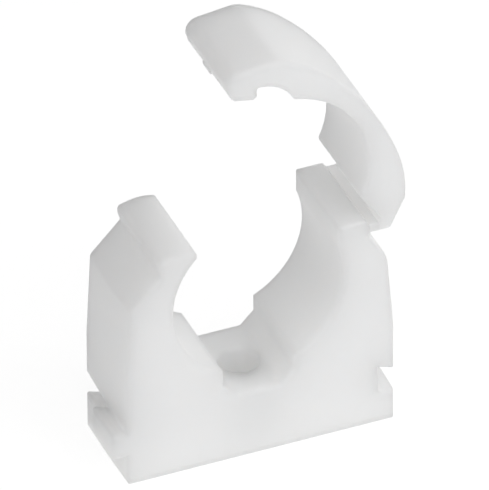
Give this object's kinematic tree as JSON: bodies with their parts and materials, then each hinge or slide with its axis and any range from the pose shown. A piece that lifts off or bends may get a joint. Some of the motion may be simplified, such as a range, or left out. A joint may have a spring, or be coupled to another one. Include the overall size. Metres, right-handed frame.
{
  "type": "hinged pipe clip",
  "caption": "White plastic pipe clip: a screw-fixed saddle with a strap on a living hinge that folds over the pipe and snaps behind the opposite post; hooked sides join clips in a row.",
  "frame": {"origin": "on the screw's axis, at the underside of the base", "axes": "+X from the latch post to the hinge post, +Y along the pipe, +Z away from the wall, out through the screw recess"},
  "size_m": [0.0383, 0.0132, 0.0562],
  "materials": {
    "moulding": "satin white polypropylene, as moulded"
  },
  "bodies": {
    "saddle": {"saddle": "moulding", "living_hinge": "moulding"},
    "strap": {"strap": "moulding"}
  },
  "joints": [
    {"name": "strap_hinge", "type": "hinge", "parent": "saddle", "child": "strap", "pos_m": [0.0145, 0, 0.02874], "axis": [0, -1, 0], "range_deg": [-50, 56.2], "stiffness_Nm_per_rad": 0.02, "deforming": ["living_hinge"]}
  ]
}
